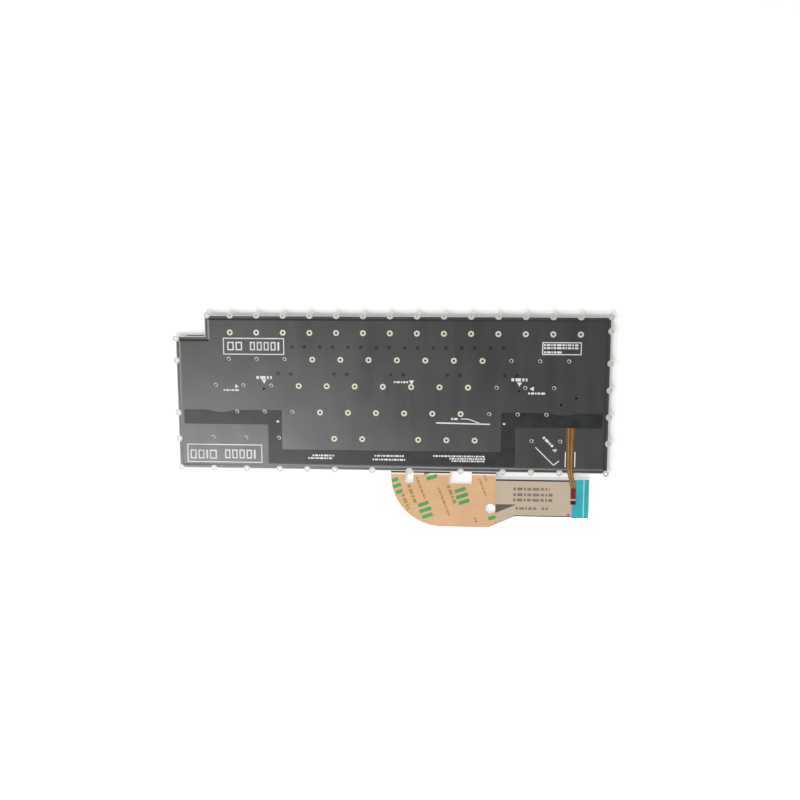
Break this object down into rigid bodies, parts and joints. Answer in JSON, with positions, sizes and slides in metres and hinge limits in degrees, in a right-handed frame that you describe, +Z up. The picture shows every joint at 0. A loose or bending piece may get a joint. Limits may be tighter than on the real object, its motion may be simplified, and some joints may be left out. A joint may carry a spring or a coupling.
{
  "type": "laptop keyboard",
  "caption": "Laptop replacement keyboard lying face down: black keycaps on scissor links, a steel support plate with screw ears, a grey backing film and a flat film tail.",
  "frame": {"origin": "on the plane of the key tops, under the middle of the whole outline with ears and tail", "axes": "+X along the keyboard towards its own left side as seen from the back, +Y towards the function row, +Z up out of the back"},
  "size_m": [0.2962, 0.1462, 0.0051],
  "materials": {
    "plate_steel": "satin",
    "membrane_polyester": "satin film",
    "adhesive_tape": "matt",
    "liner_paper": "coated paper",
    "stiffener_blue": "satin",
    "mask_polyester": "matt",
    "light_guide_clear": "clear",
    "film_grey": "satin film",
    "led_body": "gloss",
    "flex_polyimide": "satin",
    "flex_stiffener_red": "satin",
    "cover_tape": "satin film",
    "dome_rubber": "matt",
    "link_plastic": "matt",
    "wire_steel": "bright",
    "keycap_plastic": "matt"
  },
  "bodies": {
    "keyboard": {"support_plate": "plate_steel", "membrane_circuit": "membrane_polyester", "tail_adhesive": "adhesive_tape", "tail_liner": "liner_paper", "tail_stiffener": "stiffener_blue", "mask_film": "mask_polyester", "light_guide": "light_guide_clear", "reflector_film": "film_grey", "leds": "led_body", "led_flex": "flex_polyimide", "flex_stiffener": "flex_stiffener_red", "led_cover_tape": "cover_tape", "rubber_domes": "dome_rubber", "scissor_outer_links": "link_plastic", "scissor_inner_links": "link_plastic", "fixed_keys": "keycap_plastic"},
    "space_stabiliser": {"space_stabiliser": "wire_steel"},
    "key_a": {"key_a": "keycap_plastic"},
    "key_b": {"key_b": "keycap_plastic"},
    "key_c": {"key_c": "keycap_plastic"},
    "key_d": {"key_d": "keycap_plastic"},
    "key_e": {"key_e": "keycap_plastic"},
    "key_f": {"key_f": "keycap_plastic"},
    "key_g": {"key_g": "keycap_plastic"},
    "key_h": {"key_h": "keycap_plastic"},
    "key_i": {"key_i": "keycap_plastic"},
    "key_j": {"key_j": "keycap_plastic"},
    "key_k": {"key_k": "keycap_plastic"},
    "key_l": {"key_l": "keycap_plastic"},
    "key_m": {"key_m": "keycap_plastic"},
    "key_n": {"key_n": "keycap_plastic"},
    "key_o": {"key_o": "keycap_plastic"},
    "key_p": {"key_p": "keycap_plastic"},
    "key_q": {"key_q": "keycap_plastic"},
    "key_r": {"key_r": "keycap_plastic"},
    "key_s": {"key_s": "keycap_plastic"},
    "key_t": {"key_t": "keycap_plastic"},
    "key_u": {"key_u": "keycap_plastic"},
    "key_v": {"key_v": "keycap_plastic"},
    "key_w": {"key_w": "keycap_plastic"},
    "key_x": {"key_x": "keycap_plastic"},
    "key_y": {"key_y": "keycap_plastic"},
    "key_z": {"key_z": "keycap_plastic"},
    "key_0": {"key_0": "keycap_plastic"},
    "key_1": {"key_1": "keycap_plastic"},
    "key_2": {"key_2": "keycap_plastic"},
    "key_3": {"key_3": "keycap_plastic"},
    "key_4": {"key_4": "keycap_plastic"},
    "key_5": {"key_5": "keycap_plastic"},
    "key_6": {"key_6": "keycap_plastic"},
    "key_7": {"key_7": "keycap_plastic"},
    "key_8": {"key_8": "keycap_plastic"},
    "key_9": {"key_9": "keycap_plastic"},
    "key_space": {"key_space": "keycap_plastic"},
    "key_enter": {"key_enter": "keycap_plastic"},
    "key_backspace": {"key_backspace": "keycap_plastic"},
    "key_tab": {"key_tab": "keycap_plastic"},
    "key_left_shift": {"key_left_shift": "keycap_plastic"},
    "key_right_shift": {"key_right_shift": "keycap_plastic"}
  },
  "joints": [
    {"name": "key_a_press", "type": "slide", "parent": "keyboard", "child": "key_a", "axis": [0, 0, 1], "range_m": [0, 0.0013], "stiffness_N_per_m": 350, "springref_m": -0.0006, "deforming": ["rubber_domes", "scissor_outer_links", "scissor_inner_links"]},
    {"name": "key_b_press", "type": "slide", "parent": "keyboard", "child": "key_b", "axis": [0, 0, 1], "range_m": [0, 0.0013], "stiffness_N_per_m": 350, "springref_m": -0.0006, "deforming": ["rubber_domes", "scissor_outer_links", "scissor_inner_links"]},
    {"name": "key_c_press", "type": "slide", "parent": "keyboard", "child": "key_c", "axis": [0, 0, 1], "range_m": [0, 0.0013], "stiffness_N_per_m": 350, "springref_m": -0.0006, "deforming": ["rubber_domes", "scissor_outer_links", "scissor_inner_links"]},
    {"name": "key_d_press", "type": "slide", "parent": "keyboard", "child": "key_d", "axis": [0, 0, 1], "range_m": [0, 0.0013], "stiffness_N_per_m": 350, "springref_m": -0.0006, "deforming": ["rubber_domes", "scissor_outer_links", "scissor_inner_links"]},
    {"name": "key_e_press", "type": "slide", "parent": "keyboard", "child": "key_e", "axis": [0, 0, 1], "range_m": [0, 0.0013], "stiffness_N_per_m": 350, "springref_m": -0.0006, "deforming": ["rubber_domes", "scissor_outer_links", "scissor_inner_links"]},
    {"name": "key_f_press", "type": "slide", "parent": "keyboard", "child": "key_f", "axis": [0, 0, 1], "range_m": [0, 0.0013], "stiffness_N_per_m": 350, "springref_m": -0.0006, "deforming": ["rubber_domes", "scissor_outer_links", "scissor_inner_links"]},
    {"name": "key_g_press", "type": "slide", "parent": "keyboard", "child": "key_g", "axis": [0, 0, 1], "range_m": [0, 0.0013], "stiffness_N_per_m": 350, "springref_m": -0.0006, "deforming": ["rubber_domes", "scissor_outer_links", "scissor_inner_links"]},
    {"name": "key_h_press", "type": "slide", "parent": "keyboard", "child": "key_h", "axis": [0, 0, 1], "range_m": [0, 0.0013], "stiffness_N_per_m": 350, "springref_m": -0.0006, "deforming": ["rubber_domes", "scissor_outer_links", "scissor_inner_links"]},
    {"name": "key_i_press", "type": "slide", "parent": "keyboard", "child": "key_i", "axis": [0, 0, 1], "range_m": [0, 0.0013], "stiffness_N_per_m": 350, "springref_m": -0.0006, "deforming": ["rubber_domes", "scissor_outer_links", "scissor_inner_links"]},
    {"name": "key_j_press", "type": "slide", "parent": "keyboard", "child": "key_j", "axis": [0, 0, 1], "range_m": [0, 0.0013], "stiffness_N_per_m": 350, "springref_m": -0.0006, "deforming": ["rubber_domes", "scissor_outer_links", "scissor_inner_links"]},
    {"name": "key_k_press", "type": "slide", "parent": "keyboard", "child": "key_k", "axis": [0, 0, 1], "range_m": [0, 0.0013], "stiffness_N_per_m": 350, "springref_m": -0.0006, "deforming": ["rubber_domes", "scissor_outer_links", "scissor_inner_links"]},
    {"name": "key_l_press", "type": "slide", "parent": "keyboard", "child": "key_l", "axis": [0, 0, 1], "range_m": [0, 0.0013], "stiffness_N_per_m": 350, "springref_m": -0.0006, "deforming": ["rubber_domes", "scissor_outer_links", "scissor_inner_links"]},
    {"name": "key_m_press", "type": "slide", "parent": "keyboard", "child": "key_m", "axis": [0, 0, 1], "range_m": [0, 0.0013], "stiffness_N_per_m": 350, "springref_m": -0.0006, "deforming": ["rubber_domes", "scissor_outer_links", "scissor_inner_links"]},
    {"name": "key_n_press", "type": "slide", "parent": "keyboard", "child": "key_n", "axis": [0, 0, 1], "range_m": [0, 0.0013], "stiffness_N_per_m": 350, "springref_m": -0.0006, "deforming": ["rubber_domes", "scissor_outer_links", "scissor_inner_links"]},
    {"name": "key_o_press", "type": "slide", "parent": "keyboard", "child": "key_o", "axis": [0, 0, 1], "range_m": [0, 0.0013], "stiffness_N_per_m": 350, "springref_m": -0.0006, "deforming": ["rubber_domes", "scissor_outer_links", "scissor_inner_links"]},
    {"name": "key_p_press", "type": "slide", "parent": "keyboard", "child": "key_p", "axis": [0, 0, 1], "range_m": [0, 0.0013], "stiffness_N_per_m": 350, "springref_m": -0.0006, "deforming": ["rubber_domes", "scissor_outer_links", "scissor_inner_links"]},
    {"name": "key_q_press", "type": "slide", "parent": "keyboard", "child": "key_q", "axis": [0, 0, 1], "range_m": [0, 0.0013], "stiffness_N_per_m": 350, "springref_m": -0.0006, "deforming": ["rubber_domes", "scissor_outer_links", "scissor_inner_links"]},
    {"name": "key_r_press", "type": "slide", "parent": "keyboard", "child": "key_r", "axis": [0, 0, 1], "range_m": [0, 0.0013], "stiffness_N_per_m": 350, "springref_m": -0.0006, "deforming": ["rubber_domes", "scissor_outer_links", "scissor_inner_links"]},
    {"name": "key_s_press", "type": "slide", "parent": "keyboard", "child": "key_s", "axis": [0, 0, 1], "range_m": [0, 0.0013], "stiffness_N_per_m": 350, "springref_m": -0.0006, "deforming": ["rubber_domes", "scissor_outer_links", "scissor_inner_links"]},
    {"name": "key_t_press", "type": "slide", "parent": "keyboard", "child": "key_t", "axis": [0, 0, 1], "range_m": [0, 0.0013], "stiffness_N_per_m": 350, "springref_m": -0.0006, "deforming": ["rubber_domes", "scissor_outer_links", "scissor_inner_links"]},
    {"name": "key_u_press", "type": "slide", "parent": "keyboard", "child": "key_u", "axis": [0, 0, 1], "range_m": [0, 0.0013], "stiffness_N_per_m": 350, "springref_m": -0.0006, "deforming": ["rubber_domes", "scissor_outer_links", "scissor_inner_links"]},
    {"name": "key_v_press", "type": "slide", "parent": "keyboard", "child": "key_v", "axis": [0, 0, 1], "range_m": [0, 0.0013], "stiffness_N_per_m": 350, "springref_m": -0.0006, "deforming": ["rubber_domes", "scissor_outer_links", "scissor_inner_links"]},
    {"name": "key_w_press", "type": "slide", "parent": "keyboard", "child": "key_w", "axis": [0, 0, 1], "range_m": [0, 0.0013], "stiffness_N_per_m": 350, "springref_m": -0.0006, "deforming": ["rubber_domes", "scissor_outer_links", "scissor_inner_links"]},
    {"name": "key_x_press", "type": "slide", "parent": "keyboard", "child": "key_x", "axis": [0, 0, 1], "range_m": [0, 0.0013], "stiffness_N_per_m": 350, "springref_m": -0.0006, "deforming": ["rubber_domes", "scissor_outer_links", "scissor_inner_links"]},
    {"name": "key_y_press", "type": "slide", "parent": "keyboard", "child": "key_y", "axis": [0, 0, 1], "range_m": [0, 0.0013], "stiffness_N_per_m": 350, "springref_m": -0.0006, "deforming": ["rubber_domes", "scissor_outer_links", "scissor_inner_links"]},
    {"name": "key_z_press", "type": "slide", "parent": "keyboard", "child": "key_z", "axis": [0, 0, 1], "range_m": [0, 0.0013], "stiffness_N_per_m": 350, "springref_m": -0.0006, "deforming": ["rubber_domes", "scissor_outer_links", "scissor_inner_links"]},
    {"name": "key_0_press", "type": "slide", "parent": "keyboard", "child": "key_0", "axis": [0, 0, 1], "range_m": [0, 0.0013], "stiffness_N_per_m": 350, "springref_m": -0.0006, "deforming": ["rubber_domes", "scissor_outer_links", "scissor_inner_links"]},
    {"name": "key_1_press", "type": "slide", "parent": "keyboard", "child": "key_1", "axis": [0, 0, 1], "range_m": [0, 0.0013], "stiffness_N_per_m": 350, "springref_m": -0.0006, "deforming": ["rubber_domes", "scissor_outer_links", "scissor_inner_links"]},
    {"name": "key_2_press", "type": "slide", "parent": "keyboard", "child": "key_2", "axis": [0, 0, 1], "range_m": [0, 0.0013], "stiffness_N_per_m": 350, "springref_m": -0.0006, "deforming": ["rubber_domes", "scissor_outer_links", "scissor_inner_links"]},
    {"name": "key_3_press", "type": "slide", "parent": "keyboard", "child": "key_3", "axis": [0, 0, 1], "range_m": [0, 0.0013], "stiffness_N_per_m": 350, "springref_m": -0.0006, "deforming": ["rubber_domes", "scissor_outer_links", "scissor_inner_links"]},
    {"name": "key_4_press", "type": "slide", "parent": "keyboard", "child": "key_4", "axis": [0, 0, 1], "range_m": [0, 0.0013], "stiffness_N_per_m": 350, "springref_m": -0.0006, "deforming": ["rubber_domes", "scissor_outer_links", "scissor_inner_links"]},
    {"name": "key_5_press", "type": "slide", "parent": "keyboard", "child": "key_5", "axis": [0, 0, 1], "range_m": [0, 0.0013], "stiffness_N_per_m": 350, "springref_m": -0.0006, "deforming": ["rubber_domes", "scissor_outer_links", "scissor_inner_links"]},
    {"name": "key_6_press", "type": "slide", "parent": "keyboard", "child": "key_6", "axis": [0, 0, 1], "range_m": [0, 0.0013], "stiffness_N_per_m": 350, "springref_m": -0.0006, "deforming": ["rubber_domes", "scissor_outer_links", "scissor_inner_links"]},
    {"name": "key_7_press", "type": "slide", "parent": "keyboard", "child": "key_7", "axis": [0, 0, 1], "range_m": [0, 0.0013], "stiffness_N_per_m": 350, "springref_m": -0.0006, "deforming": ["rubber_domes", "scissor_outer_links", "scissor_inner_links"]},
    {"name": "key_8_press", "type": "slide", "parent": "keyboard", "child": "key_8", "axis": [0, 0, 1], "range_m": [0, 0.0013], "stiffness_N_per_m": 350, "springref_m": -0.0006, "deforming": ["rubber_domes", "scissor_outer_links", "scissor_inner_links"]},
    {"name": "key_9_press", "type": "slide", "parent": "keyboard", "child": "key_9", "axis": [0, 0, 1], "range_m": [0, 0.0013], "stiffness_N_per_m": 350, "springref_m": -0.0006, "deforming": ["rubber_domes", "scissor_outer_links", "scissor_inner_links"]},
    {"name": "key_space_press", "type": "slide", "parent": "keyboard", "child": "key_space", "axis": [0, 0, 1], "range_m": [0, 0.0013], "stiffness_N_per_m": 350, "springref_m": -0.0006, "deforming": ["rubber_domes", "scissor_outer_links", "scissor_inner_links"]},
    {"name": "key_enter_press", "type": "slide", "parent": "keyboard", "child": "key_enter", "axis": [0, 0, 1], "range_m": [0, 0.0013], "stiffness_N_per_m": 350, "springref_m": -0.0006, "deforming": ["rubber_domes", "scissor_outer_links", "scissor_inner_links"]},
    {"name": "key_backspace_press", "type": "slide", "parent": "keyboard", "child": "key_backspace", "axis": [0, 0, 1], "range_m": [0, 0.0013], "stiffness_N_per_m": 350, "springref_m": -0.0006, "deforming": ["rubber_domes", "scissor_outer_links", "scissor_inner_links"]},
    {"name": "key_tab_press", "type": "slide", "parent": "keyboard", "child": "key_tab", "axis": [0, 0, 1], "range_m": [0, 0.0013], "stiffness_N_per_m": 350, "springref_m": -0.0006, "deforming": ["rubber_domes", "scissor_outer_links", "scissor_inner_links"]},
    {"name": "key_left_shift_press", "type": "slide", "parent": "keyboard", "child": "key_left_shift", "axis": [0, 0, 1], "range_m": [0, 0.0013], "stiffness_N_per_m": 350, "springref_m": -0.0006, "deforming": ["rubber_domes", "scissor_outer_links", "scissor_inner_links"]},
    {"name": "key_right_shift_press", "type": "slide", "parent": "keyboard", "child": "key_right_shift", "axis": [0, 0, 1], "range_m": [0, 0.0013], "stiffness_N_per_m": 350, "springref_m": -0.0006, "deforming": ["rubber_domes", "scissor_outer_links", "scissor_inner_links"]},
    {"name": "space_stabiliser_swing", "type": "hinge", "parent": "keyboard", "child": "space_stabiliser", "pos_m": [0.00916, -0.023, 0.0031], "axis": [1, 0, 0], "range_deg": [0, 12.3]}
  ],
  "couplings": [
    {"joint": "space_stabiliser_swing", "follows": "key_space_press", "rad_per_m": 165.07}
  ]
}
